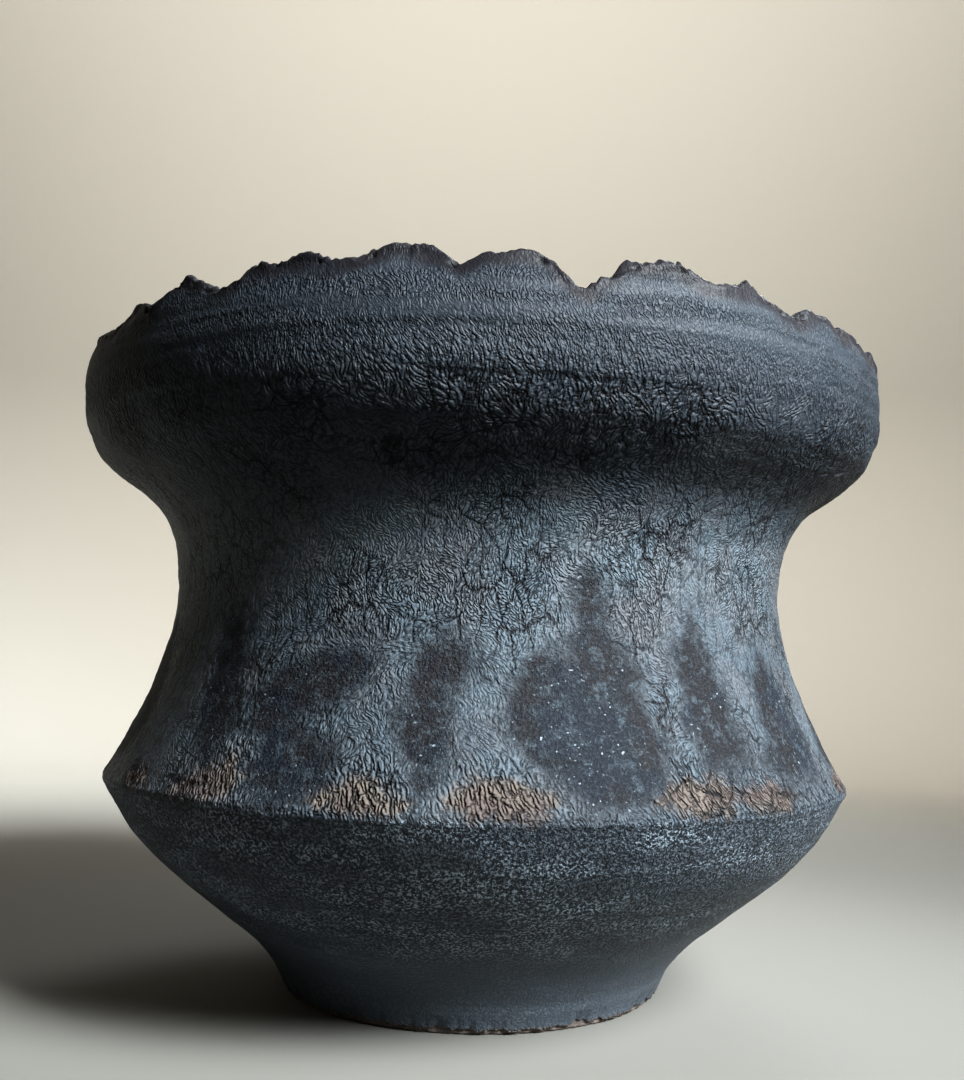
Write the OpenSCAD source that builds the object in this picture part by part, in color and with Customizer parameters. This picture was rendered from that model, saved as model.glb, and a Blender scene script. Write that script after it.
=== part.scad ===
// Black clay pot: a strip-built pot on a trimmed foot, with a sharp keel, a concave waist and an
// outward-rolled collar whose top edge is torn. Each strip of clay is luted to the next with slip
// in a scored groove, and a thick black slip coats the outside.
// The origin is the centre of the foot's underside, +Z is up and -Y is the front. Millimetres.

/* [Foot and bowl] */
// Radius of the foot where it stands
foot_r = 50; // [47:0.5:52]
// Width of the foot's standing ring
foot_ring_w = 8; // [6:0.5:9]
// Height of the underside of the floor above the standing ring
recess_h = 5.5; // [5:0.5:6.5]
// Thickness of the floor
floor_t = 8; // [7:0.5:9]
// Outside radius of the keel, the pot's sharp shoulder
keel_r = 98.6; // [96:0.2:101]
// Height of the keel
keel_h = 55.8; // [53:0.2:58]

/* [Waist and collar] */
// Outside radius of the waist at its narrowest
waist_r = 81.7; // [79:0.1:85]
// Height of the waist's narrowest ring
waist_h = 104.9; // [102:0.1:107]
// Outside radius of the collar at its widest
collar_r = 107.2; // [105:0.1:110]
// Height of the collar's widest ring
collar_h = 155; // [152:0.5:157]
// Outside radius at the tip of the tallest tooth of the torn edge
lip_r = 103.2; // [101:0.1:104]
// Height of the tip of the tallest tooth
lip_h = 173; // [172:0.5:177]

/* [Walls] */
// Thickness of the clay wall
wall = 6; // [5:0.5:7]
// Thickness of the slip coat on the outside
coat = 0.8; // [0.5:0.1:1]
// Thickness of the torn edge
lip_t = 3.5; // [3:0.5:4.5]
// Width of the scored groove in each joint
groove_w = 2.4; // [1.6:0.2:2.8]
// Depth of the scored groove in each joint
groove_d = 0.8; // [0.4:0.1:1]
// Seed of the torn edge's teeth on the back
tear_seed = 12; // [1:1:99]

/* [Hidden] */
$fn = 180;

BODY_CLAY = [0.17, 0.14, 0.13];
LUTING_SLIP = [0.30, 0.27, 0.25];
BLACK_SLIP = [0.09, 0.11, 0.13];

// Heights of the joints between the strips of clay
foot_joint = recess_h + 4.5;
floor_top = recess_h + floor_t;
keel_lower_joint = keel_h - 4;
keel_upper_joint = keel_h + 4;
throat_joint = waist_h + 22;
collar_joint = collar_h - 10;
rim_joint = collar_h + 3;
// The slip coat stops short of the standing ring and leaves a line of bare clay
coat_start = 1;
// The floor slab sits in a rebate that covers half of the standing ring
slab_r = foot_r - foot_ring_w / 2;

// One stretch of a cubic Bezier curve, without its first point
function bezier(a, b, c, d, steps) = [
    for (i = [1 : steps])
        let (t = i / steps, s = 1 - t)
            s * s * s * a + 3 * s * s * t * b + 3 * s * t * t * c + t * t * t * d
];
// A point at a distance from another, on a slope given as [run, rise]
function along(p, slope, distance) = p + distance * slope / norm(slope);
// A path of [radius, height] points as a table that lookup() reads by height
function by_height(path) = [for (p = path) [p[1], p[0]]];

// The outside, from the foot up: foot, bowl, keel, waist, flare, collar
foot_top = [foot_r + 15.8, 20.1];
bowl_slope = [0.79, 0.61];
keel_under = [keel_r - 0.7, keel_h - 1.6];
keel_over = [keel_r - 0.7, keel_h + 1.6];
flare = [collar_r - 12.6, collar_h - 23.6];
flare_slope = [0.83, 0.56];
OUTSIDE = by_height(concat(
    [[foot_r, 0]],
    bezier([foot_r, 0], along([foot_r, 0], [0.3, 0.95], 10), along(foot_top, -bowl_slope, 8),
           foot_top, 8),
    bezier(foot_top, along(foot_top, bowl_slope, 24), along(keel_under, [-0.4, -0.92], 14),
           keel_under, 12),
    [[keel_r - 0.15, keel_h - 0.7], [keel_r - 0.15, keel_h + 0.7]],
    [keel_over],
    bezier(keel_over, along(keel_over, [-0.51, 0.86], 18), [waist_r, waist_h - 14],
           [waist_r, waist_h], 14),
    bezier([waist_r, waist_h], [waist_r, waist_h + 18], along(flare, -flare_slope, 5),
           flare, 10),
    bezier(flare, along(flare, flare_slope, 11), [collar_r, collar_h - 14],
           [collar_r, collar_h], 12),
    bezier([collar_r, collar_h], [collar_r, collar_h + 6], [lip_r + 1.8, lip_h - 6],
           [lip_r, lip_h], 8)
));
// The inside, from the floor up
belly = [keel_r - 19.3, keel_h - 15.2];
belly_slope = [0.68, 0.73];
inner_keel = [keel_r - wall - 2, keel_h + 2.7];
inner_waist = [waist_r - wall - coat, waist_h];
inner_flare = [flare[0] - wall * 0.7, flare[1] + wall * 0.9];
inner_collar = [collar_r - wall - 0.6, collar_h];
INSIDE = by_height(concat(
    [[slab_r, floor_top]],
    bezier([slab_r, floor_top], [slab_r + 10, floor_top + 1], along(belly, -belly_slope, 12),
           belly, 10),
    bezier(belly, along(belly, belly_slope, 6), inner_keel - [0, 4.5], inner_keel, 6),
    bezier(inner_keel, inner_keel + [0, 3.5], inner_waist - [0, 20], inner_waist, 14),
    bezier(inner_waist, inner_waist + [0, 18], along(inner_flare, -flare_slope, 5),
           inner_flare, 10),
    bezier(inner_flare, along(inner_flare, flare_slope, 8), inner_collar - [0, 8],
           inner_collar, 8),
    bezier(inner_collar, inner_collar + [0, 7], [lip_r - lip_t + 0.9, lip_h - 6],
           [lip_r - lip_t, lip_h], 6)
));

function outside(z) = lookup(z, OUTSIDE);
function inside(z) = lookup(z, INSIDE);
// Radius of the clay under the slip coat, which is equally thick on every slope
function steepness(z) = outside(z + 0.5) - outside(z - 0.5);
function clay(z) = outside(z) - coat * sqrt(1 + pow(steepness(z), 2));

// Heights from low to high, in equal steps of about 2 mm
function rungs(low, high) =
    let (n = ceil((high - low) / 2)) [for (i = [0 : n]) low + (high - low) * i / n];
function reversed(list) = [for (i = [len(list) - 1 : -1 : 0]) list[i]];
// Rungs that follow the keel's edge, below it and above it
UNDER_KEEL = [for (drop = [4, 2.8, 1.6, 0.7, 0]) keel_h - drop];
OVER_KEEL = [for (rise = [0, 0.7, 1.6, 2.8, 4]) keel_h + rise];

// A strip of clay: the outside takes the given rungs, and the inside takes even ones
module strip(heights) {
    last = len(heights) - 1;
    rotate_extrude()
    polygon(concat([for (z = heights) [clay(z), z]],
                   [for (z = reversed(rungs(heights[0], heights[last]))) [inside(z), z]]));
}

// The slip that fills the scored groove in the middle of the wall, under a joint's height
module luting(z) {
    rotate_extrude()
    translate([(clay(z) + inside(z)) / 2 - groove_w / 2, z - groove_d])
    square([groove_w, groove_d]);
}

// A strip whose top face carries the scored groove for the next strip
module scored_strip(heights) {
    color(BODY_CLAY)
    difference() {
        strip(heights);
        luting(heights[len(heights) - 1]);
    }
}

module slip_coat(heights) {
    color(BLACK_SLIP)
    rotate_extrude()
    polygon(concat([for (z = heights) [outside(z), z]],
                   [for (z = reversed(heights)) [clay(z), z]]));
}

// The foot: a standing ring with a rebate that the floor slab sits in
module foot_ring() {
    ring_r = foot_r - foot_ring_w;
    color(BODY_CLAY)
    difference() {
        rotate_extrude()
        polygon(concat([[ring_r, 0], [clay(0) - 0.6, 0]],
                       [for (z = concat([0.6], rungs(2, foot_joint))) [clay(z), z]],
                       [[slab_r, foot_joint], [slab_r, recess_h], [ring_r, recess_h]]));
        foot_groove();
    }
}
module foot_groove() {
    rotate_extrude()
    translate([(clay(foot_joint) + slab_r) / 2 - groove_w / 2, foot_joint - groove_d])
    square([groove_w, groove_d]);
}
module foot_luting() color(LUTING_SLIP) foot_groove();

// The floor: a round slab, scored round its edge
module floor_slab() {
    color(BODY_CLAY)
    difference() {
        translate([0, 0, recess_h]) cylinder(r = slab_r, h = floor_t);
        floor_groove();
    }
}
module floor_groove() {
    rotate_extrude()
    translate([slab_r - groove_d, recess_h + 1])
    square([groove_d, groove_w]);
}
module floor_luting() color(LUTING_SLIP) floor_groove();

module bowl_wall() {
    heights = rungs(foot_joint, keel_lower_joint);
    color(BODY_CLAY)
    difference() {
        rotate_extrude()
        polygon(concat([[slab_r, foot_joint]],
                       [for (z = heights) [clay(z), z]],
                       [for (z = reversed(rungs(floor_top + 1, keel_lower_joint)))
                            [inside(z), z]],
                       [[slab_r, floor_top]]));
        luting(keel_lower_joint);
    }
}

module keel_coil() scored_strip(concat(UNDER_KEEL, [for (i = [1 : 4]) OVER_KEEL[i]]));
module lower_waist_wall() scored_strip(rungs(keel_upper_joint, waist_h));
module upper_waist_wall() scored_strip(rungs(waist_h, throat_joint));
module collar_flare() scored_strip(rungs(throat_joint, collar_joint));
module collar_band() scored_strip(rungs(collar_joint, rim_joint));

module keel_lower_luting() color(LUTING_SLIP) luting(keel_lower_joint);
module keel_upper_luting() color(LUTING_SLIP) luting(keel_upper_joint);
module waist_luting() color(LUTING_SLIP) luting(waist_h);
module throat_luting() color(LUTING_SLIP) luting(throat_joint);
module collar_luting() color(LUTING_SLIP) luting(collar_joint);
module rim_luting() color(LUTING_SLIP) luting(rim_joint);

// The black slip, in three coats that meet at the keel and at the throat
module bowl_slip_coat()
    slip_coat(concat(rungs(coat_start, keel_lower_joint - 1), UNDER_KEEL));
module waist_slip_coat()
    slip_coat(concat(OVER_KEEL, rungs(keel_upper_joint + 1, throat_joint)));
module collar_slip_coat()
    slip_coat(concat(rungs(throat_joint, collar_joint), rungs(collar_joint + 1, rim_joint)));

// Corners of the torn edge, as [angle from +X, drop below the tallest tooth]. The front is
// given tooth by tooth, and the back repeats its character with random drops.
FRONT_TEAR = [
    [204, 7.5], [207, 7.5], [214, 9.5], [216, 6.5], [220, 5], [225, 8], [231, 2.5], [238, 8.5],
    [242, 2.5], [245, 4], [248, 1.5], [254, 4.5], [260, 0], [265, 2], [267, 5.5], [270, 3],
    [275, 2], [277, 3], [280, 10.5], [283, 8], [285, 5.5], [287, 2], [289, 3], [292, 1],
    [294, 4.5], [298, 6], [303, 3], [306, 5], [310, 8.5], [314, 5.5], [319, 5], [321, 7.5],
    [326, 5.5], [331, 8], [335, 9]
];
BACK_TEETH = 44;
back_drops = rands(1.5, 9.5, BACK_TEETH, tear_seed);
back_shifts = rands(-1.8, 1.8, BACK_TEETH, tear_seed + 100);
BACK_TEAR = [for (i = [0 : BACK_TEETH - 1]) [340 + 5 * i + back_shifts[i], back_drops[i]]];
TEAR = concat(FRONT_TEAR, BACK_TEAR, [[FRONT_TEAR[0][0] + 360, FRONT_TEAR[0][1]]]);
function tear_height(angle) =
    lip_h - lookup(angle < FRONT_TEAR[0][0] ? angle + 360 : angle, TEAR);
// The torn teeth lean in and out a little
function lean(angle) = 0.5 * sin(3 * angle + 40) + 0.4 * sin(8 * angle) + 0.3 * sin(17 * angle);

// The rim is swept round the axis. Its section runs from the bottom outside corner over the
// rounded top to the bottom inside corner, as [share of the height, share of the thickness].
RIM_STEPS = 240;
SECTION = [[0, 0], [0.3, 0], [0.6, 0], [0.88, 0], [1, 0.28], [0.97, 0.75], [0.82, 1],
           [0.5, 1], [0, 1]];
function rim_point(angle, up, across) =
    let (z = rim_joint + up * (tear_height(angle) - rim_joint),
         r = outside(z) + across * (inside(z) - outside(z)) + up * lean(angle))
        [r * cos(angle), r * sin(angle), z];
module torn_rim() {
    n = len(SECTION);
    color(BODY_CLAY)
    polyhedron(
        points = [for (i = [0 : RIM_STEPS - 1], s = SECTION)
                      rim_point(i * 360 / RIM_STEPS, s[0], s[1])],
        faces = [for (i = [0 : RIM_STEPS - 1], k = [0 : n - 1], half = [0, 1])
                     let (a = i * n, b = (i + 1) % RIM_STEPS * n, next = (k + 1) % n)
                         half == 0 ? [a + k, a + next, b + next] : [a + k, b + next, b + k]]
    );
}

foot_ring();
floor_slab();
bowl_wall();
keel_coil();
lower_waist_wall();
upper_waist_wall();
collar_flare();
collar_band();
torn_rim();
foot_luting();
floor_luting();
keel_lower_luting();
keel_upper_luting();
waist_luting();
throat_luting();
collar_luting();
rim_luting();
bowl_slip_coat();
waist_slip_coat();
collar_slip_coat();
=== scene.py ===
"""Black clay pot: wrinkled black slip over a strip-built clay body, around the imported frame."""
import math

import bmesh
import bpy
import numpy as np
from mathutils import Matrix, Vector


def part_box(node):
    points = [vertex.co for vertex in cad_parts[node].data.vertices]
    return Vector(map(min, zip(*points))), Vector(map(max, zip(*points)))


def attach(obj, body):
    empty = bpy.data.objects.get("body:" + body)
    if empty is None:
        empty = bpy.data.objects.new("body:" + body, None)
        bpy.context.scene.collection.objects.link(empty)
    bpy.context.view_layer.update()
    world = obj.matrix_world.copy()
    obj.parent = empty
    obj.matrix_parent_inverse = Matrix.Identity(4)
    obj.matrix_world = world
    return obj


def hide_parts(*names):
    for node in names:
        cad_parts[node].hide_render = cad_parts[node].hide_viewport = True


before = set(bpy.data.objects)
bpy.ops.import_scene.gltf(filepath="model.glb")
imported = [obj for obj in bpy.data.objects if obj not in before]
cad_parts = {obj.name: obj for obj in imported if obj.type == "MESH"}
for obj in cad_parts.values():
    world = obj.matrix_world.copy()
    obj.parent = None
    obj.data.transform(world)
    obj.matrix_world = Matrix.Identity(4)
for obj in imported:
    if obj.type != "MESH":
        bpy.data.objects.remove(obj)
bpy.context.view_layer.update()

MM = 0.001
COARSER = 1
OUTSIDE_STEP = 0.4 * COARSER    # mm between rows of points on the outside
INSIDE_STEP = 0.9 * COARSER     # mm between rows on the inside
HIDDEN_STEP = 4.0               # mm between rows where clay meets slip
NOISE_SCALE = 0.6               # noise of this scale has blots about 1 mm wide
CRACK_CELL = 4.2                # mm between the cracks that run up the waist
OUTSIDE_TURN = np.linspace(0, 2 * math.pi, 1320 // COARSER, endpoint=False)
INSIDE_TURN = np.linspace(0, 2 * math.pi, 660 // COARSER, endpoint=False)

SLIP_COATS = ["bowl_slip_coat", "waist_slip_coat", "collar_slip_coat"]
# Each strip of clay with the luting in its top face
STRIPS = {
    "bowl_wall": "keel_lower_luting",
    "keel_coil": "keel_upper_luting",
    "lower_waist_wall": "waist_luting",
    "upper_waist_wall": "throat_luting",
    "collar_flare": "collar_luting",
    "collar_band": "rim_luting",
}
LUTINGS = ["foot_luting", "floor_luting"] + list(STRIPS.values())


# ------------------------------------------------------------------ shapes read from the frame
def cad_points(node):
    """A CAD node's vertices as radius, height and angle, in millimetres and radians."""
    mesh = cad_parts[node].data
    co = np.empty(len(mesh.vertices) * 3)
    mesh.vertices.foreach_get("co", co)
    x, y, z = co.reshape(-1, 3).T / MM
    return np.hypot(x, y), z, np.arctan2(y, x)


def cad_rungs(nodes, pick):
    """One [radius, height] point for each height at which the nodes have vertices."""
    radius, height = np.hstack([cad_points(node)[:2] for node in nodes])
    height = height.round(2)
    return np.array([[pick(radius[height == h]), h] for h in np.unique(height)])


def even_steps(line, step):
    """A line of [radius, height] points, cut into even steps of arc length."""
    run = np.r_[0, np.cumsum(np.linalg.norm(np.diff(line, axis=0), axis=1))]
    even = np.linspace(0, run[-1], max(1, round(run[-1] / step)) + 1)
    return np.column_stack([np.interp(even, run, line[:, k]) for k in (0, 1)])


def smooth_path(points, step=0.1):
    """A Catmull-Rom curve through [radius, height] points, in even steps."""
    points = np.asarray(points, float)
    p = np.vstack([2 * points[0] - points[1], points, 2 * points[-1] - points[-2]])
    t = np.linspace(0, 1, 24, endpoint=False)[:, None]
    bends = [0.5 * (2 * b + (c - a) * t + (2 * a - 5 * b + 4 * c - d) * t ** 2
                    + (3 * b - a - 3 * c + d) * t ** 3)
             for a, b, c, d in zip(p, p[1:], p[2:], p[3:])]
    return even_steps(np.vstack(bends + [points[-1:]]), step)


def inner_radius(height):
    """How far it is from the axis to the nearest clay at a height."""
    hits = []
    for node in STRIPS:
        hit, spot, _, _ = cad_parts[node].ray_cast(Vector((0, 0, height * MM)),
                                                        Vector((1, 0.01, 0)))
        if hit:
            hits.append(math.hypot(spot.x, spot.y) / MM)
    return min(hits)


def heights_of(node):
    """A CAD node's lowest and highest height."""
    low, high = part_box(node)
    return low.z / MM, high.z / MM


coat_low, keel_high = heights_of("bowl_slip_coat")
throat_high = heights_of("waist_slip_coat")[1]
rim_low, rim_high = heights_of("torn_rim")
crease_high = heights_of("collar_flare")[1]
floor_low, floor_high = heights_of("floor_slab")
foot_joint = heights_of("bowl_wall")[0]
slab_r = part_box("floor_slab")[1].x / MM
ring_r = cad_points("foot_ring")[0].min()

rim_radius, rim_height, rim_angle = cad_points("torn_rim")
rim_middle = np.interp(rim_height, [rim_low, rim_high],
                       [rim_radius[rim_height < rim_low + 0.1].mean(),
                        rim_radius[rim_height > rim_high - 4].mean()])


def rim_rungs(side):
    """[radius, height] points up one side of the torn rim, averaged round the pot."""
    heights = np.arange(rim_low + 3, rim_high - 2, 3)
    return [[rim_radius[side & (abs(rim_height - h) < 1.2)].mean(), h] for h in heights]


OUTSIDE = smooth_path(np.vstack([cad_rungs(SLIP_COATS, np.max),
                                 rim_rungs(rim_radius > rim_middle)]))
CLAY = cad_rungs(SLIP_COATS, np.min)
wall_heights = np.r_[floor_high + 1, np.arange(floor_high + 3, rim_low - 2, 3), rim_low - 0.5]
INSIDE = smooth_path(np.vstack([[slab_r, floor_high]]
                               + [[inner_radius(h), h] for h in wall_heights]
                               + rim_rungs(rim_radius < rim_middle)))


def radius_on(path, height):
    """The radius of a path at a height."""
    return np.interp(height, path[:, 1], path[:, 0])


def normal_on(path, height):
    """The outward direction of a path as [across, up], with radius to the right of height."""
    slope = np.gradient(path, axis=0)
    slope /= np.linalg.norm(slope, axis=1)[:, None]
    return np.stack([np.interp(height, path[:, 1], slope[:, 1]),
                     -np.interp(height, path[:, 1], slope[:, 0])], -1)


def between(path, low, high, step):
    """The stretch of a path from one height up to another, in even steps."""
    middle = path[(path[:, 1] > low + 0.02) & (path[:, 1] < high - 0.02)]
    ends = [[radius_on(path, h), h] for h in (low, high)]
    return even_steps(np.vstack([ends[:1], middle, ends[1:]]), step)


def clay_face(start, end):
    """[radius, height] points where clay meets slip, from one height to another."""
    height = np.linspace(start, end, max(2, round(abs(end - start) / HIDDEN_STEP)) + 1)
    return np.column_stack([radius_on(CLAY, height), height])


# ------------------------------------------------------------------ the torn edge
def waves(angle, seed, longest, shortest, count):
    """A sum of sines round the pot, of wavelengths between two numbers of degrees."""
    rng = np.random.default_rng(seed)
    total = np.zeros_like(angle)
    for turns in np.geomspace(360 / longest, 360 / shortest, count).round():
        total += rng.normal() * np.sin(turns * angle + rng.uniform(0, 2 * math.pi))
    return total / math.sqrt(count / 2)


def torn_height(angle):
    """The height of the torn edge: the CAD's corners with small nicks between them."""
    column = (np.degrees(rim_angle) * 2).round().astype(int)
    columns = np.unique(column)
    tops = np.array([rim_height[column == c].max() for c in columns])
    at = np.radians(columns / 2)
    wrapped = (angle + math.pi) % (2 * math.pi) - math.pi
    height = np.interp(wrapped, np.r_[at - 2 * math.pi, at, at + 2 * math.pi], np.tile(tops, 3))
    rough_nick, fine_nick = 0.26, 0.13      # mm
    nick = np.where(waves(angle, 6, 60, 20, 5) > 0, rough_nick, fine_nick)
    return height + nick * waves(angle, 5, 5, 1.0, 16)


# ------------------------------------------------------------------ patches on the outside
# Outlines on the lower waist as [degrees from +X, mm above the foot]. The slip is thin and
# smooth inside the first kind, and has crawled off the clay inside the second.
SMOOTH_PATCHES = [
    [(-73, 109), (-71, 103), (-70, 96), (-67, 90), (-65, 84), (-65, 76), (-63, 69), (-65, 62),
     (-68, 57), (-76, 57), (-79, 63), (-84, 66), (-86, 74), (-85, 84), (-82, 89), (-77, 90),
     (-75, 96), (-76, 101)],
    [(-54, 102), (-52, 93), (-50, 84), (-48, 75), (-49, 66), (-54, 64), (-58, 67), (-60, 76),
     (-58, 82), (-59, 91), (-56, 95)],
    [(-99, 91), (-95, 92), (-92, 90), (-91, 85), (-94, 80), (-93, 72), (-94, 64), (-97, 62),
     (-100, 68), (-101, 76), (-99, 84)],
    [(-114, 88), (-109, 92), (-105, 88), (-106, 82), (-110, 78), (-114, 75), (-114, 71),
     (-109, 69), (-107, 63), (-110, 59), (-117, 57), (-121, 60), (-120, 66), (-123, 72),
     (-125, 79), (-120, 84)],
    [(-133, 99), (-131, 99), (-128, 85), (-126, 72), (-128, 62), (-132, 64), (-134, 74),
     (-135, 86)],
    [(-37, 91), (-33, 86), (-31, 76), (-29, 68), (-31, 61), (-42, 61), (-46, 66), (-42, 73),
     (-41, 82)],
    [(-12, 97), (-9, 84), (-6, 70), (-8, 60), (-20, 60), (-23, 68), (-18, 78), (-16, 90)],
    [(8, 104), (13, 92), (17, 78), (15, 64), (6, 58), (-1, 64), (0, 80), (5, 90)],
    [(33, 88), (39, 80), (41, 68), (36, 60), (27, 60), (24, 70), (28, 80)],
    [(55, 107), (59, 96), (64, 82), (66, 68), (61, 58), (50, 58), (47, 70), (50, 84), (53, 95)],
    [(82, 93), (86, 82), (86, 68), (80, 61), (74, 66), (75, 78), (79, 86)],
    [(101, 100), (106, 88), (112, 80), (111, 66), (103, 60), (95, 64), (93, 76), (98, 88)],
    [(129, 91), (133, 80), (134, 66), (127, 60), (121, 66), (122, 80)],
    [(149, 106), (153, 95), (158, 84), (160, 70), (154, 59), (145, 60), (141, 72), (145, 88)],
    [(176, 94), (181, 84), (182, 70), (176, 61), (169, 66), (170, 80)],
    [(201, 99), (206, 88), (209, 74), (204, 62), (195, 62), (193, 76), (197, 88)],
]
BARE_PATCHES = [
    [(-134, 57), (-130, 62), (-127, 63), (-124, 66), (-121, 62), (-122, 58), (-127, 56)],
    [(-111, 58), (-108, 61), (-104, 64), (-101, 61), (-97, 59), (-99, 57), (-105, 56)],
    [(-94, 59), (-91, 63), (-87, 64), (-83, 62), (-79, 59), (-82, 56), (-90, 56)],
    [(-67, 59), (-64, 63), (-61, 64), (-56, 63), (-54, 59), (-57, 56), (-64, 57)],
    [(-54, 59), (-50, 62), (-47, 62), (-43, 60), (-42, 58), (-46, 56), (-52, 57)],
    [(-26, 58), (-22, 62), (-17, 62), (-13, 58), (-19, 56)],
    [(19, 58), (22, 63), (27, 62), (31, 58), (25, 56)],
    [(42, 58), (45, 62), (49, 60), (51, 57), (46, 56)],
    [(68, 58), (72, 64), (76, 62), (80, 58), (74, 56)],
    [(88, 58), (91, 62), (97, 63), (101, 58), (94, 56)],
    [(114, 57), (118, 63), (122, 61), (126, 58), (119, 56)],
    [(136, 58), (139, 62), (143, 60), (146, 57), (140, 56)],
    [(162, 58), (166, 64), (171, 61), (174, 58), (167, 56)],
    [(185, 58), (189, 62), (194, 62), (197, 58), (190, 56)],
    [(212, 58), (214, 61), (218, 61), (220, 58), (215, 56)],
]
FAR_OUTSIDE = -20.0     # what inside_by gives far from every outline, in mm
OUTLINE_REACH = 0.4     # radians to each side of an outline's middle that inside_by measures


def inside_by(outlines, angle, height, radius):
    """Millimetres inside the nearest outline, or minus the millimetres outside it."""
    best = np.full(angle.shape, FAR_OUTSIDE)
    for outline in outlines:
        turn = np.radians([corner[0] for corner in outline])
        corner_h = np.array([corner[1] for corner in outline], float)
        middle = turn.mean()
        across = (angle - middle + math.pi) % (2 * math.pi) - math.pi
        near = ((abs(across) < OUTLINE_REACH) & (height > corner_h.min() + FAR_OUTSIDE)
                & (height < corner_h.max() - FAR_OUTSIDE))
        px, py = (across * radius)[near], height[near]
        qx = (turn - middle) * radius_on(OUTSIDE, corner_h)
        distance = np.full(px.shape, -FAR_OUTSIDE)
        within = np.zeros(px.shape, bool)
        for ax, ay, bx, by in zip(qx, corner_h, np.roll(qx, -1), np.roll(corner_h, -1)):
            dx, dy = bx - ax, by - ay
            t = np.clip(((px - ax) * dx + (py - ay) * dy) / (dx * dx + dy * dy), 0, 1)
            distance = np.minimum(distance, np.hypot(px - ax - t * dx, py - ay - t * dy))
            if ay != by:
                within ^= ((ay > py) != (by > py)) & (px < ax + dx * (py - ay) / dy)
        best[near] = np.maximum(best[near], np.where(within, distance, -distance))
    return best


# ------------------------------------------------------------------ node trees
class Field:
    """A value that varies over a surface, in the node tree of a material or a modifier."""

    def __init__(self, tree, socket):
        self.tree = tree
        self.socket = socket

    def __add__(self, other):
        return math_node(self.tree, "ADD", self, other)

    def __sub__(self, other):
        return math_node(self.tree, "SUBTRACT", self, other)

    def __rsub__(self, other):
        return math_node(self.tree, "SUBTRACT", other, self)

    def __mul__(self, other):
        return math_node(self.tree, "MULTIPLY", self, other)

    __radd__ = __add__
    __rmul__ = __mul__


def plug(tree, value, socket):
    """Links a Field to a socket, or sets the socket to a constant."""
    if isinstance(value, Field):
        tree.links.new(value.socket, socket)
    else:
        socket.default_value = value


def add_node(tree, kind, settings=None, **inputs):
    """A new node with its settings and inputs, where an input's name has _ for a space."""
    node = tree.nodes.new(kind)
    for name, value in (settings or {}).items():
        setattr(node, name, value)
    for name, value in inputs.items():
        plug(tree, value, node.inputs[name.replace("_", " ")])
    return node


def math_node(tree, operation, *values):
    node = add_node(tree, "ShaderNodeMath", {"operation": operation})
    for value, socket in zip(values, node.inputs):
        plug(tree, value, socket)
    return Field(tree, node.outputs[0])


def vector_node(tree, operation, *values, result="Vector"):
    node = add_node(tree, "ShaderNodeVectorMath", {"operation": operation})
    for value, socket in zip(values, node.inputs):
        plug(tree, value, socket)
    return Field(tree, node.outputs[result])


def stretched(vector, x, y, z):
    """A vector multiplied along each axis. A pattern stretches along an axis where this is small."""
    return vector_node(vector.tree, "MULTIPLY", vector, (x, y, z))


def step(value, start, end):
    """0 before start and 1 after end, with a smooth rise between them."""
    node = add_node(value.tree, "ShaderNodeMapRange", {"interpolation_type": "SMOOTHSTEP"},
                    Value=value, From_Min=start, From_Max=end)
    return Field(value.tree, node.outputs[0])


def mix(share, a, b):
    """a where share is 0 and b where it is 1, for two numbers."""
    node = add_node(share.tree, "ShaderNodeMix", {"data_type": "FLOAT"})
    for value, index in ((share, 0), (a, 2), (b, 3)):
        plug(share.tree, value, node.inputs[index])
    return Field(share.tree, node.outputs[0])


def mix_colour(share, a, b):
    """a where share is 0 and b where it is 1, for two colours."""
    node = add_node(share.tree, "ShaderNodeMix", {"data_type": "RGBA"})
    for value, index in ((share, 0), (a, 6), (b, 7)):
        plug(share.tree, (*value, 1) if isinstance(value, tuple) else value, node.inputs[index])
    return Field(share.tree, node.outputs[2])


def attribute(tree, name, vector=False):
    """A named attribute of the mesh."""
    if tree.bl_idname == "GeometryNodeTree":
        node = add_node(tree, "GeometryNodeInputNamedAttribute",
                        {"data_type": "FLOAT_VECTOR" if vector else "FLOAT"}, Name=name)
        return Field(tree, node.outputs["Attribute"])
    node = add_node(tree, "ShaderNodeAttribute", {"attribute_name": name})
    return Field(tree, node.outputs["Vector" if vector else "Fac"])


def shifted(place, shift):
    """The place moved far along a slanting line, so that each pattern is a different one."""
    return vector_node(place.tree, "ADD", place, (shift, shift * 0.7, shift * 1.3))


def noise(place, size, detail=0.0, roughness=0.5, shift=0.0):
    """Noise from 0 to 1, with blots of about size mm."""
    node = add_node(place.tree, "ShaderNodeTexNoise", Vector=shifted(place, shift),
                    Scale=NOISE_SCALE / size, Detail=detail, Roughness=roughness)
    return Field(place.tree, node.outputs[0])


def warped(place, size, amount, shift=0.0):
    """The place moved about by noise, by up to amount mm each way."""
    node = add_node(place.tree, "ShaderNodeTexNoise", Vector=shifted(place, shift),
                    Scale=NOISE_SCALE / size)
    three_noises = Field(place.tree, node.outputs["Color"])
    push = vector_node(place.tree, "SUBTRACT", three_noises, (0.5, 0.5, 0.5))
    return vector_node(place.tree, "ADD", place, stretched(push, *[4 * amount] * 3))


def cells(place, size, feature="F1", shift=0.0):
    """The distance that a Voronoi feature gives, in cells of about size mm."""
    node = add_node(place.tree, "ShaderNodeTexVoronoi", {"feature": feature},
                    Vector=shifted(place, shift), Scale=1 / size)
    return Field(place.tree, node.outputs["Distance"])


def scaled(vector, amount):
    """A vector multiplied by a number or a Field."""
    node = add_node(vector.tree, "ShaderNodeVectorMath", {"operation": "SCALE"})
    plug(vector.tree, vector, node.inputs[0])
    plug(vector.tree, amount, node.inputs["Scale"])
    return Field(vector.tree, node.outputs[0])


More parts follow.
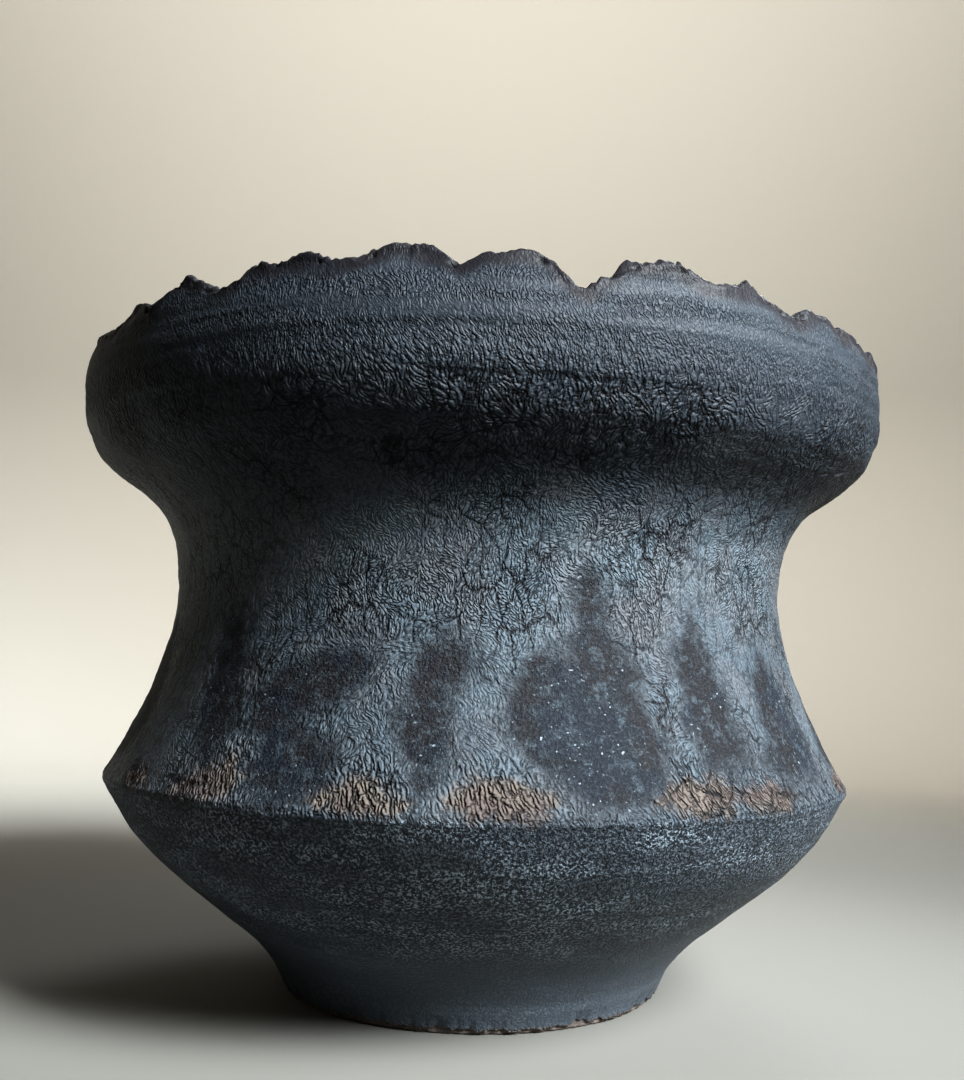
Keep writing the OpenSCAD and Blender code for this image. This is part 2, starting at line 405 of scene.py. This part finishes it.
def worms(place, along, width, length):
    """Rounded ridges with sharp creases between them, from 0 to 1. Noise is blurred along a
    direction by averaging three taps, and its level of 0.5 becomes the creases."""
    taps = [noise(vector_node(place.tree, "ADD", place, scaled(along, t * length / 3)), width * 0.8)
            for t in (-1, 0, 1)]
    level = math_node(place.tree, "ABSOLUTE", (taps[0] + taps[1] + taps[2]) * (1 / 3) - 0.5)
    return math_node(place.tree, "MINIMUM", level * 6, 1.0)


# ------------------------------------------------------------------ patterns, in millimetres
def run_direction(place, outward, size, tilt, shift=0.0):
    """The direction along the wall that wrinkles run in: upward, and tilted by slow noise."""
    tree = place.tree
    round_pot = vector_node(tree, "NORMALIZE", vector_node(tree, "CROSS_PRODUCT", (0, 0, 1), place))
    up_wall = vector_node(tree, "CROSS_PRODUCT", outward, round_pot)
    turn = (noise(place, size, 1, 0.5, shift) - 0.5) * tilt
    return vector_node(tree, "ADD", scaled(up_wall, math_node(tree, "COSINE", turn)),
                       scaled(round_pot, math_node(tree, "SINE", turn)))


def slip_fields(tree):
    """What the slip's relief and its material share. The modifier stores it on the points."""
    place = attribute(tree, "place", vector=True)
    outward = attribute(tree, "outward", vector=True)
    high = attribute(tree, "high")
    soft_edge = (noise(place, 4, 5, 0.75) - 0.5) * 15
    smooth = step(attribute(tree, "smooth") + soft_edge, -3.2, 2.8)
    ragged_edge = (noise(place, 2.5, 4, 0.7, shift=31) - 0.5) * 8
    hem = 1 - step(high + ragged_edge * 0.3, 0.9, 2.2)
    bare = math_node(tree, "MAXIMUM", step(attribute(tree, "bare") + ragged_edge, -1.6, 1.8), hem)
    near_bare = step(attribute(tree, "bare") + ragged_edge, -6, -1)
    rim_noise = (noise(place, 6, 2, 0.5, shift=7) - 0.5) * 10
    below = attribute(tree, "below_tear")
    rim = 1 - step(below + rim_noise, 2.0, 6.0)
    calm = 1 - step(noise(place, 18, 1, 0.5, shift=79), 0.40, 0.58)
    bowl = 1 - step(high, keel_high - 1.2, keel_high + 0.4)
    foot = 1 - step(high + rim_noise * 0.5, 14, 30)
    band = step(high, crease_high - 2, crease_high + 3)
    wrinkled = (1 - smooth * 0.85) * (1 - rim * 0.7) * (1 - bowl * 0.6) * (1 - foot * 0.8)
    tiers = step(noise(stretched(place, 0.1, 0.1, 1), 2.6, 1, 0.5, shift=95), 0.42, 0.56)
    collar = step(high, crease_high + 5, crease_high + 12)
    wrinkled = wrinkled * (1 - calm * (1 - band) * 0.4) * (1 - collar * (0.65 - tiers * 0.5))
    under_collar = step(high, throat_high - 8, throat_high + 4) * (1 - band) * 0.9
    above_ledge = band * (1 - step(high, crease_high + 3, crease_high + 12)) * 0.7
    patchy = step(noise(place, 9, 1, 0.5, shift=23), 0.36, 0.50)
    slant = vector_node(tree, "ADD", run_direction(place, outward, 7, 1.5, shift=41),
                        scaled(vector_node(tree, "CROSS_PRODUCT", outward, (0, 0, 1)), 0.5))
    along = run_direction(place, outward, 5, 7, shift=17)
    straight = math_node(tree, "MINIMUM", band * 0.7 + near_bare, 1.0)
    near_smooth = step(attribute(tree, "smooth") + soft_edge, -9, -3) * 0.6
    # Painted shade: these zones darken the slip's colour from the top of the waist up over the collar,
    # more on the collar band and just under the crease, and over the lower waist, bowl and foot
    above_waist = step(high + rim_noise * 0.5, throat_high - 14, throat_high + 2)
    below_waist = 1 - step(high + rim_noise * 0.5, throat_high - 40, throat_high - 12)
    under_crease = step(high + rim_noise * 0.3, crease_high - 12, crease_high - 6) * (1 - band)
    coarse = under_collar + above_ledge + near_bare + near_smooth
    return {
        "along": vector_node(tree, "ADD", scaled(along, 1 - straight), scaled(slant, straight)),
        "folds": worms(place, run_direction(place, outward, 9, 9, shift=11), 1.3, 2.6),
        "crack_place": stretched(warped(place, 2.2, 0.8, shift=5), 1, 1, 0.42),
        "cracked": patchy * (1 - band) * (1 - bowl) * wrinkled,
        "coarse_zone": math_node(tree, "MINIMUM", coarse, 1.0),
        "darker": above_waist * 0.62 + band * 0.28 + under_crease * 0.22 + below_waist * 0.32,
        "smooth_zone": smooth,
        "bare_zone": bare,
        "rim_zone": rim,
        "pits": step(noise(place, 2.2, 1, 0.5, shift=77), 0.60, 0.68) * (1 - step(below, 1.2, 2.6)),
        "bowl_zone": bowl,
        "foot_zone": foot,
        "wrinkled": wrinkled,
        "tone": noise(place, 12, 4, 0.6, shift=29),
        "hue": noise(place, 8, 3, 0.6, shift=37),
        "streaks": noise(stretched(place, 0.25, 0.25, 1), 4, 3, 0.6, shift=71),
    }


def crackle(crack_place, width):
    """1 in the cracks that run up and down the waist, and 0 beside them."""
    to_crack = cells(crack_place, CRACK_CELL, "DISTANCE_TO_EDGE") * CRACK_CELL
    return 1 - step(to_crack, 0, width)


def slip_relief(tree, f):
    """How far the outside stands out from its profile."""
    place, high = attribute(tree, "place", vector=True), attribute(tree, "high")
    rings = (noise(stretched(place, 0.02, 0.02, 1), 4, 2, 0.5, shift=2) - 0.5) * 0.8
    collar = step(high, crease_high + 3, crease_high + 8)
    collar_rings = noise(stretched(place, 0.06, 0.06, 1), 2.2, 1, 0.5, shift=91) - 0.5
    lumps = (noise(place, 16, 2, 0.5, shift=13) - 0.5) * 1.3
    ledge_high = high + (noise(place, 12, 1, 0.5, shift=19) - 0.5) * 3
    near_crease = 1 - step(math_node(tree, "ABSOLUTE", high - crease_high), 2, 7)
    sharp = step(noise(place, 30, 0, 0.5, shift=73), 0.40, 0.60) * 0.30 + 0.10
    ledge = (step(ledge_high, crease_high - 0.8, crease_high + 0.6) - 0.5) * near_crease * sharp
    pits = f["pits"] * 0.8
    fold_height = f["wrinkled"] * mix(f["coarse_zone"], 0.07, 0.16) + f["bare_zone"] * 0.2
    folds = (f["folds"] - 0.5) * fold_height
    valleys = crackle(f["crack_place"], 0.8) * f["cracked"] * 0.08
    thin = f["smooth_zone"] * 0.2 + f["bare_zone"] * 0.1
    return rings + collar_rings * collar * 0.9 + lumps + ledge + folds - valleys - thin - pits


def clay_fields(tree):
    """Nothing, because the clay's relief and its material share no field."""
    return {}


def clay_relief(tree, f):
    """Marks of the fingers and of the turntable on the inside."""
    place = attribute(tree, "place", vector=True)
    rings = (noise(stretched(place, 0.03, 0.03, 1), 3.5, 2, 0.6, shift=52) - 0.5) * 1.0
    fingers = (noise(stretched(place, 1, 1, 0.6), 11, 1, 0.4, shift=47) - 0.5) * 1.6
    return rings + fingers


def rim_relief(tree, f):
    """The slip's relief where the skin of slip covers the rim, and the clay's elsewhere."""
    return mix(attribute(tree, "skin"), clay_relief(tree, f), slip_relief(tree, f))


def modelled(piece, fields, relief):
    """Stores the fields on the piece's points and moves the points outward by the relief."""
    group = bpy.data.node_groups.new(piece.name + "_relief", "GeometryNodeTree")
    for direction in ("INPUT", "OUTPUT"):
        group.interface.new_socket("Geometry", in_out=direction, socket_type="NodeSocketGeometry")
    shared = fields(group)
    geometry = group.nodes.new("NodeGroupInput").outputs[0]
    offset = scaled(attribute(group, "outward", vector=True),
                    relief(group, shared) * attribute(group, "shown") * MM)
    move = add_node(group, "GeometryNodeSetPosition", Offset=offset)
    group.links.new(geometry, move.inputs[0])
    geometry = move.outputs[0]
    for name, field in shared.items():
        kind = "FLOAT_VECTOR" if field.socket.type == "VECTOR" else "FLOAT"
        store = add_node(group, "GeometryNodeStoreNamedAttribute", {"data_type": kind}, Name=name,
                         Value=field)
        group.links.new(geometry, store.inputs[0])
        geometry = store.outputs[0]
    group.links.new(geometry, group.nodes.new("NodeGroupOutput").inputs[0])
    piece.modifiers.new("relief", "NODES").node_group = group
    graph = bpy.context.evaluated_depsgraph_get()
    mesh = bpy.data.meshes.new_from_object(piece.evaluated_get(graph))
    mesh.name = piece.name
    piece.modifiers.clear()
    piece.data = mesh
    bpy.data.node_groups.remove(group)


# ------------------------------------------------------------------ materials
def material_of(name, shading):
    """A material whose colour, roughness and height in mm come from a function of its tree."""
    material = bpy.data.materials.new(name)
    material.use_nodes = True
    tree = material.node_tree
    shader = tree.nodes["Principled BSDF"]
    shader.inputs["Specular IOR Level"].default_value = 0.12
    colour, rough, height = shading(tree)
    plug(tree, colour, shader.inputs["Base Color"])
    plug(tree, rough, shader.inputs["Roughness"])
    node = add_node(tree, "ShaderNodeBump", Height=height, Distance=MM)
    tree.links.new(node.outputs[0], shader.inputs["Normal"])
    return material


def slip_shading(tree):
    """Wrinkled black slip, with smooth speckled patches, bare tan patches and a grainy bowl."""
    place, along = attribute(tree, "place", vector=True), attribute(tree, "along", vector=True)
    smooth, bare, rim = (attribute(tree, n) for n in ("smooth_zone", "bare_zone", "rim_zone"))
    bowl, wrinkled = attribute(tree, "bowl_zone"), attribute(tree, "wrinkled")
    grainy = bowl * (1 - attribute(tree, "foot_zone") * 0.85)
    tone, hue, streaks = (attribute(tree, n) for n in ("tone", "hue", "streaks"))
    coarse, darker = attribute(tree, "coarse_zone"), attribute(tree, "darker")
    wrinkles = mix(coarse, worms(place, along, 0.5, 1.1), worms(place, along, 0.7, 1.9))
    cracks = crackle(attribute(tree, "crack_place", vector=True), 0.38) * attribute(tree, "cracked")
    grain = noise(place, 0.4, 2, 0.7, shift=61)
    specks = step(noise(place, 0.45, shift=67), 0.74, 0.88)

    colour = mix_colour(step(hue, 0.35, 0.65), (0.060, 0.077, 0.091), (0.074, 0.075, 0.080))
    colour = mix_colour(step(tone, 0.25, 0.80) * 0.5, colour, (0.105, 0.128, 0.144))
    # Painted shade: darkened where the darker field is high, from the top of the waist up over the
    # collar and over the lower waist, bowl and foot
    colour = mix_colour(darker, colour, (0.018, 0.022, 0.028))
    patch = mix_colour(step(hue, 0.45, 0.60), (0.011, 0.010, 0.011), (0.010, 0.013, 0.018))
    colour = mix_colour(smooth, colour, patch)
    mottles = step(noise(place, 1.6, 3, 0.7, shift=93), 0.50, 0.68) * smooth
    colour = mix_colour(mottles * 0.55, colour, (0.056, 0.071, 0.083))
    colour = mix_colour(bowl * 0.7, colour, (0.060, 0.071, 0.085))
    colour = mix_colour(rim, colour, (0.011, 0.010, 0.012))
    # Painted shade: the creases between the wrinkles are painted near-black
    valleys = (1 - step(wrinkles, 0.02, 0.65)) * wrinkled
    colour = mix_colour(valleys * 0.9, colour, (0.005, 0.006, 0.008))
    grains = step(grain, 0.40, 0.60)
    colour = mix_colour((1 - grains) * (grainy * 0.75 + smooth * 0.5), colour, (0.005, 0.006, 0.008))
    streaky = step(streaks, 0.42, 0.60) * 0.85 + 0.15
    flecked = 0.07 - smooth * 0.02 - darker * 0.035 + grainy * streaky
    flecks = step(grain, 0.50, 0.64) * (1 - rim) * flecked
    colour = mix_colour(flecks, colour, (0.22, 0.26, 0.30))
    # Painted shade: the pits by the torn edge are painted near-black, besides being sunk into the
    # surface
    colour = mix_colour(attribute(tree, "pits"), colour, (0.003, 0.003, 0.003))
    tan = mix_colour(step(tone, 0.4, 0.6), (0.078, 0.062, 0.056), (0.108, 0.091, 0.076))
    tan = mix_colour(step(wrinkles, 0.0, 0.5), (0.030, 0.023, 0.021), tan)
    colour = mix_colour(bare, colour, tan)
    colour = mix_colour(cracks * 0.9, colour, (0.004, 0.004, 0.005))
    spots = specks * (step(tone, 0.5, 0.6) * 0.25 + smooth * step(hue, 0.40, 0.55))
    colour = mix_colour(math_node(tree, "MINIMUM", spots, 1.0), colour, (0.17, 0.19, 0.21))
    rough = mix(bare, mix(smooth, 0.50, 0.68), 0.8) + (grain - 0.5) * 0.2
    relief = wrinkles * (wrinkled * mix(coarse, 0.30, 0.46) + bare * 0.35)
    height = relief - cracks * 0.15 + (grain - 0.5) * (0.12 + smooth * 0.34 + grainy * 0.42)
    return colour, rough, height


def clay_shading(tree):
    """Grey clay with grains of sand, and browner where the foot stands."""
    place = attribute(tree, "place", vector=True)
    grain = noise(place, 0.35, 3, 0.6, shift=81)
    tone = noise(stretched(place, 1, 1, 3), 14, 4, 0.6, shift=83)
    sand = 1 - step(cells(place, 1.1, shift=87), 0.12, 0.2)
    streaks = noise(stretched(place, 0.1, 0.1, 1), 0.8, 2, 0.6, shift=89)
    colour = mix_colour(step(tone, 0.3, 0.7), (0.026, 0.024, 0.024), (0.060, 0.056, 0.054))
    colour = mix_colour(sand * 0.5, colour, (0.16, 0.15, 0.14))
    high = vector_node(tree, "DOT_PRODUCT", place, (0, 0, 1), result="Value")
    standing = 1 - step(high, 1.5, 3.0)
    colour = mix_colour(standing * 0.8, colour, (0.130, 0.105, 0.092))
    rough = 0.72 + (grain - 0.5) * 0.3
    return colour, rough, (grain - 0.5) * 0.15 + (streaks - 0.5) * 0.2 - sand * 0.05


def rim_shading(tree):
    """Slip outside and over the torn edge, and clay inside."""
    skin = attribute(tree, "skin")
    (clay_colour, clay_rough, clay_height) = clay_shading(tree)
    (slip_colour, slip_rough, slip_height) = slip_shading(tree)
    return (mix_colour(skin, clay_colour, slip_colour), mix(skin, clay_rough, slip_rough),
            mix(skin, clay_height, slip_height))


def luting_shading(tree):
    """Grey slip, blotched lighter and darker."""
    coordinates = add_node(tree, "ShaderNodeTexCoord")
    place = stretched(Field(tree, coordinates.outputs["Object"]), 1 / MM, 1 / MM, 1 / MM)
    tone = noise(place, 2.5, 4, 0.6)
    colour = mix_colour(tone, (0.05, 0.045, 0.042), (0.13, 0.12, 0.11))
    return colour, 0.75 + (tone - 0.5) * 0.2, tone * 0.2


BLACK_SLIP = material_of("black_slip", slip_shading)
BODY_CLAY = material_of("body_clay", clay_shading)
TORN_CLAY = material_of("torn_clay", rim_shading)
LUTING_SLIP = material_of("luting_slip", luting_shading)


# ------------------------------------------------------------------ meshes
def around(rows, turn):
    """Values by row, repeated round the pot."""
    rows = np.asarray(rows, float)
    return np.repeat(rows[:, None], len(turn), axis=1)


def spun(values, turn):
    """[across, up] directions, rows by columns by 2, turned round the axis into vectors."""
    return np.stack([values[..., 0] * np.cos(turn), values[..., 0] * np.sin(turn), values[..., 1]], -1)


def set_attributes(mesh, attributes):
    """Stores numbers or vectors, rows by columns, on a mesh's points."""
    for key, values in attributes.items():
        values = np.ascontiguousarray(values, np.float32)
        vector = values.ndim == 3
        layer = mesh.attributes.new(key, "FLOAT_VECTOR" if vector else "FLOAT", "POINT")
        layer.data.foreach_set("vector" if vector else "value", values.reshape(-1))


def ring_mesh(name, radius, height, turn, corners, attributes, closed=True):
    """Rows of rings: radius and height are rows by columns, in millimetres. The rows run up
    the outside and back down the inside, and shading breaks at the rows in corners."""
    rows, columns = radius.shape
    place = np.stack([radius * np.cos(turn), radius * np.sin(turn), height], -1)
    index = np.arange(rows * columns).reshape(rows, columns)
    low, high = (index, np.roll(index, -1, 0)) if closed else (index[:-1], index[1:])
    quads = np.stack([low, np.roll(low, -1, 1), np.roll(high, -1, 1), high], -1)
    mesh = bpy.data.meshes.new(name)
    mesh.from_pydata((place.reshape(-1, 3) * MM).tolist(), [], quads.reshape(-1, 4).tolist())
    mesh.shade_smooth()
    ends = np.empty(len(mesh.edges) * 2, np.int32)
    mesh.edges.foreach_get("vertices", ends)
    edge_rows = ends.reshape(-1, 2) // columns
    sharp = (edge_rows[:, 0] == edge_rows[:, 1]) & np.isin(edge_rows[:, 0], corners)
    mesh.attributes.new("sharp_edge", "BOOLEAN", "EDGE").data.foreach_set("value", sharp)
    set_attributes(mesh, {"place": place, **attributes})
    piece = bpy.data.objects.new(name, mesh)
    bpy.context.scene.collection.objects.link(piece)
    return piece


def weld(mesh):
    """Joins the points that lie at the same place, such as a ring's at the axis."""
    shape = bmesh.new()
    shape.from_mesh(mesh)
    bmesh.ops.remove_doubles(shape, verts=shape.verts, dist=1e-6)
    shape.to_mesh(mesh)
    shape.free()


def outside_zones(radius, height, turn):
    """What slip_fields reads: how far each point lies inside the patches and below the tear."""
    angle = np.broadcast_to(turn, radius.shape)
    return {
        "high": height,
        "below_tear": np.broadcast_to(torn_height(turn), radius.shape) - height,
        "smooth": inside_by(SMOOTH_PATCHES, angle, height, radius),
        "bare": inside_by(BARE_PATCHES, angle, height, radius),
    }


def add_piece(piece, fields, relief, material, slot, *nodes):
    """Gives a mesh its relief and material, and puts it in the place of CAD nodes."""
    modelled(piece, fields, relief)
    piece.data.materials.append(material)
    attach(piece, "root")
    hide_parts(*nodes)
    return piece


# ------------------------------------------------------------------ the slip coats
def slip_band(name, low, high, node):
    """One band of a slip coat, from a height to a height."""
    face = between(OUTSIDE, low, high, OUTSIDE_STEP)
    back = clay_face(high, low)
    section = np.vstack([face, back])
    n = len(face)
    shown = np.r_[np.ones(n), np.zeros(len(back))]
    radius, height = around(section[:, 0], OUTSIDE_TURN), around(section[:, 1], OUTSIDE_TURN)
    if low == coat_low:
        hem = np.maximum(0, 0.4 + 0.5 * waves(OUTSIDE_TURN, 9, 40, 3, 9))
        hem_band = 4    # mm of height over which the uneven hem fades out
        height += hem * np.clip(1 - (height - low) / hem_band, 0, 1)
    outward = spun(around(normal_on(OUTSIDE, section[:, 1]), OUTSIDE_TURN),
                   np.broadcast_to(OUTSIDE_TURN, radius.shape))
    piece = ring_mesh(name, radius, height, OUTSIDE_TURN, [0, n - 1, n, len(section) - 1],
                      {"outward": outward, "shown": around(shown, OUTSIDE_TURN),
                       **outside_zones(radius, height, OUTSIDE_TURN)})
    add_piece(piece, slip_fields, slip_relief, BLACK_SLIP, "black_slip", node)


def slip_coats():
    """Each coat in bands of equal width, so that no band's mesh gets too large."""
    coats = {
        "bowl_slip_coat": (coat_low, keel_high, ["foot_slip", "bowl_slip", "under_keel_slip"]),
        "waist_slip_coat": (keel_high, throat_high, ["over_keel_slip", "waist_slip", "throat_slip"]),
        "collar_slip_coat": (throat_high, rim_low, ["flare_slip", "collar_slip"]),
    }
    for node, (low, high, names) in coats.items():
        path = between(OUTSIDE, low, high, 0.1)
        marks = np.linspace(0, len(path) - 1, len(names) + 1).round().astype(int)
        for name, a, b in zip(names, path[marks, 1], path[marks[1:], 1]):
            slip_band(name, a, b, node)


# ------------------------------------------------------------------ the clay
def grooved(start, end, luting):
    """A flat face from [radius, height] start to end, with a groove where the luting lies."""
    low, high = heights_of(luting)
    radius = cad_points(luting)[0]
    inner, outer = radius.min(), radius.max()
    return [start, [outer, high], [outer, low], [inner, low], [inner, high], end]


def clay_strip(name, luting):
    """A strip of clay: its hidden outside, the scored top face and the visible inside."""
    low, high = heights_of(name)
    floor_edge = low == foot_joint
    back = clay_face(low, high)
    face = between(INSIDE, floor_high if floor_edge else low, high, INSIDE_STEP)[::-1]
    top = np.array(grooved(back[-1], face[0], luting))
    section = np.vstack([back, top[1:-1], face] + ([[[slab_r, foot_joint]]] if floor_edge else []))
    first, last = len(back) + len(top) - 2, len(back) + len(top) - 3 + len(face)
    shown = np.zeros(len(section))
    shown[first:last + 1] = 1
    if floor_edge:
        shown[last] = 0
    radius, height = around(section[:, 0], INSIDE_TURN), around(section[:, 1], INSIDE_TURN)
    outward = spun(around(-normal_on(INSIDE, section[:, 1]), INSIDE_TURN),
                   np.broadcast_to(INSIDE_TURN, radius.shape))
    corners = [0, *range(len(back) - 1, first + 1), last, len(section) - 1]
    piece = ring_mesh(name + "_clay", radius, height, INSIDE_TURN, corners,
                      {"outward": outward, "shown": around(shown, INSIDE_TURN)})
    add_piece(piece, clay_fields, clay_relief, BODY_CLAY, "body_clay", name)


def foot_ring():
    """The standing ring, with its underside flat on the floor."""
    low_edge = 0.6      # the bevel at the foot's outer edge, in mm
    clay_r = radius_on(CLAY, coat_low)
    outside_high = np.r_[low_edge, np.arange(coat_low, foot_joint, HIDDEN_STEP), foot_joint]
    outside = np.column_stack([radius_on(CLAY, outside_high), outside_high])
    underside = [[r, 0] for r in np.linspace(ring_r, clay_r - low_edge, 8)]
    top = grooved(outside[-1], [slab_r, foot_joint], "foot_luting")
    section = np.vstack([underside, outside, top[1:], [[slab_r, floor_low], [ring_r, floor_low]]])
    radius, height = around(section[:, 0], INSIDE_TURN), around(section[:, 1], INSIDE_TURN)
    n = len(underside)
    worn = 0.12 * waves(INSIDE_TURN, 31, 8, 1.5, 12)
    radius[n - 1:n + 1] += worn
    outward = np.zeros(radius.shape + (3,))
    piece = ring_mesh("foot_ring_clay", radius, height, INSIDE_TURN, range(n + 1, len(section)),
                      {"outward": outward, "shown": np.zeros(radius.shape)})
    add_piece(piece, clay_fields, clay_relief, BODY_CLAY, "body_clay", "foot_ring")


def floor_slab():
    """The floor, with the spiral that the turning fingers leave on it."""
    across = np.arange(0, slab_r, INSIDE_STEP)
    low, high = heights_of("floor_luting")
    inner = cad_points("floor_luting")[0].min()
    edge = [[slab_r, low], [inner, low], [inner, high], [slab_r, high]]
    section = np.vstack([np.column_stack([across, np.full(len(across), floor_low)]),
                         [[slab_r, floor_low]], edge, [[slab_r, floor_high]],
                         np.column_stack([across[::-1], np.full(len(across), floor_high)])])
    radius, height = around(section[:, 0], INSIDE_TURN), around(section[:, 1], INSIDE_TURN)
    n, top = len(across), len(section) - len(across)
    outward = np.zeros(radius.shape + (3,))
    outward[top:] = (0, 0, 1)
    shown = np.zeros(radius.shape)
    flat_middle, flat_edge = 8, 6               # mm over which the marks fade out
    spiral_pitch, spiral_height = 5.5, 0.25     # mm
    fade = np.clip((slab_r - across[::-1]) / flat_edge, 0, 1)
    shown[top:] = fade[:, None]
    spiral = np.sin(2 * math.pi * radius[top:] / spiral_pitch + INSIDE_TURN)
    spiral *= np.clip(radius[top:] / flat_middle, 0, 1)
    height[top:] += spiral_height * spiral * fade[:, None]
    piece = ring_mesh("floor_slab_clay", radius, height, INSIDE_TURN, range(n, top + 1),
                      {"outward": outward, "shown": shown}, closed=False)
    weld(piece.data)
    add_piece(piece, clay_fields, clay_relief, BODY_CLAY, "body_clay", "floor_slab")


def torn_rim():
    """The torn edge: the outside runs up to it, over a rounded ragged lip and down inside."""
    turn = OUTSIDE_TURN
    tear = torn_height(turn)
    thick = 3.3 + 0.5 * waves(turn, 15, 30, 5, 8)
    bulge = 0.9 + 0.25 * waves(turn, 16, 12, 3, 8)
    slant = 0.7 * waves(turn, 17, 25, 4, 9)
    lean = 0.5 * waves(turn, 18, 120, 15, 6)
    shoulder = tear - bulge - abs(slant)
    rows = max(2, round((tear.mean() - rim_low) / OUTSIDE_STEP))
    up = np.linspace(0, 1, rows)[:, None]
    face_high = rim_low + up * (shoulder - rim_low)
    face_r = radius_on(OUTSIDE, face_high) + up ** 2 * lean
    down = np.linspace(1, 0, rows // 2)[:, None]
    back_high = rim_low + down * (shoulder - rim_low)
    back_r = (radius_on(INSIDE, back_high) * (1 - down ** 2)
              + (face_r[-1] - thick) * down ** 2)
    bend = np.linspace(0, math.pi, 12)[1:-1, None]
    lip_r = face_r[-1] - thick / 2 + thick / 2 * np.cos(bend)
    lip_high = (shoulder + (bulge + abs(slant)) * np.sin(bend) ** 0.7
                - slant * np.cos(bend) * np.sin(bend))
    under_r = np.linspace(back_r[-1].mean(), face_r[0].mean(), 5)[1:-1, None]
    radius = np.vstack([face_r, lip_r, back_r, np.repeat(under_r, len(turn), 1)])
    height = np.vstack([face_high, lip_high, back_high, np.full((3, len(turn)), rim_low)])
    n, m = len(face_r), len(face_r) + len(lip_r)
    last = m + len(back_r) - 1
    across_up = np.zeros(radius.shape + (2,))
    across_up[:n] = normal_on(OUTSIDE, face_high)
    across_up[n:m] = np.stack(np.broadcast_arrays(np.cos(bend), np.sin(bend)), -1)
    across_up[m:last + 1] = -normal_on(INSIDE, back_high)
    skin = np.vstack([np.ones((n, 1)), np.linspace(1, 0.7, m - n)[:, None],
                      np.clip(np.linspace(0.7, -2.5, last + 1 - m), 0, 1)[:, None], np.zeros((3, 1))])
    shown = np.vstack([np.ones((last + 1, 1)), np.zeros((3, 1))])
    piece = ring_mesh("torn_rim_clay", radius, height, turn, [0, last],
                      {"outward": spun(across_up, np.broadcast_to(turn, radius.shape)),
                       "shown": np.broadcast_to(shown, radius.shape),
                       "skin": np.broadcast_to(skin, radius.shape),
                       **outside_zones(radius, height, turn)})
    add_piece(piece, slip_fields, rim_relief, TORN_CLAY, "black_slip", "torn_rim")


slip_coats()
for strip, luting in STRIPS.items():
    clay_strip(strip, luting)
foot_ring()
floor_slab()
torn_rim()
for luting in LUTINGS:
    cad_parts[luting].data.materials.clear()
    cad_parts[luting].data.materials.append(LUTING_SLIP)


# ------------------------------------------------------------------ stage, lights and camera
def stage():
    """A round pale floor that curves up into a pale wall, all the way round."""
    wall_r, bend, wall_top = 0.95, 0.35, 2.0
    arc = [(wall_r - bend + bend * math.sin(a), bend - bend * math.cos(a))
           for a in np.linspace(0, math.pi / 2, 24)]
    line = np.array([(0, 0), (0.3, 0)] + arc + [(wall_r, wall_top)])
    turn = np.linspace(0, 2 * math.pi, 128, endpoint=False)
    radius, height = around(line[:, 0] / MM, turn), around(line[:, 1] / MM, turn)
    floor = ring_mesh("floor", radius, height, turn, [], {}, closed=False)
    weld(floor.data)
    material = bpy.data.materials.new("floor")
    material.use_nodes = True
    tree = material.node_tree
    shader = tree.nodes["Principled BSDF"]
    place = Field(tree, add_node(tree, "ShaderNodeTexCoord").outputs["Object"])
    # Painted light: the floor is painted darker near the pot and lighter from 0.2 m out and up the
    # wall, standing in for light where the window's narrow spread falls off
    far = vector_node(tree, "LENGTH", stretched(place, 1, 1, 0), result="Value")
    colour = mix_colour(step(far, 0.20, 0.62), (0.150, 0.142, 0.126), (0.46, 0.445, 0.405))
    plug(tree, colour, shader.inputs["Base Color"])
    shader.inputs["Roughness"].default_value = 0.9
    floor.data.materials.append(material)


def area_light(name, place, target, size, spread, power, colour):
    """A rectangle of light that shines within a spread of degrees."""
    data = bpy.data.lights.new(name, "AREA")
    data.shape = "RECTANGLE"
    data.size, data.size_y = size
    data.spread = math.radians(spread)
    data.energy = power
    data.color = colour
    light = bpy.data.objects.new(name, data)
    light.location = place
    light.visible_camera = False
    light.rotation_euler = (Vector(target) - Vector(place)).to_track_quat("-Z", "Y").to_euler()
    bpy.context.scene.collection.objects.link(light)


def lights():
    """A window to the right, in front and above, a dim light behind, and lights on the wall."""
    area_light("window", (0.50, -0.42, 0.56), (0, 0, 0.10), (0.36, 0.40), 50, 4.1, (0.89, 0.96, 1.0))
    area_light("back_light", (0.25, 0.62, 0.55), (0, 0, 0.10), (0.40, 0.40), 50, 0.4, (0.90, 0.96, 1.0))
    for name, azimuth, power in (("wall_light", 90, 7.9), ("left_light", 210, 0.1),
                                 ("right_light", -30, 0.7)):
        x, y = math.cos(math.radians(azimuth)), math.sin(math.radians(azimuth))
        area_light(name, (0.15 * x, 0.15 * y, 1.7), (0.9 * x, 0.9 * y, 0.5), (1.2, 0.4), 70, power,
                   (1.0, 0.97, 0.92))
    world = bpy.data.worlds.new("studio")
    world.use_nodes = True
    background = world.node_tree.nodes["Background"]
    background.inputs["Color"].default_value = (0.90, 0.95, 1.0, 1)
    background.inputs["Strength"].default_value = 0.01
    bpy.context.scene.world = world
    bpy.context.scene.view_settings.view_transform = "Standard"
    bpy.context.scene.view_settings.look = "Medium High Contrast"


def camera():
    """A phone held 35 cm from the pot's axis, 9 cm above the floor and tilted up."""
    data = bpy.data.cameras.new("camera")
    data.lens = 41.67
    data.sensor_width = 36
    data.clip_start = 0.01
    view = bpy.data.objects.new("camera", data)
    view.location = (0, -0.350, 0.0903)
    pitch, roll, yaw = math.radians(4.9), math.radians(1.3), math.radians(-0.1)
    turned = (Matrix.Rotation(yaw, 4, "Z") @ Matrix.Rotation(math.pi / 2 + pitch, 4, "X")
              @ Matrix.Rotation(roll, 4, "Z"))
    view.rotation_euler = turned.to_euler()
    bpy.context.scene.collection.objects.link(view)
    bpy.context.scene.camera = view


stage()
lights()
camera()
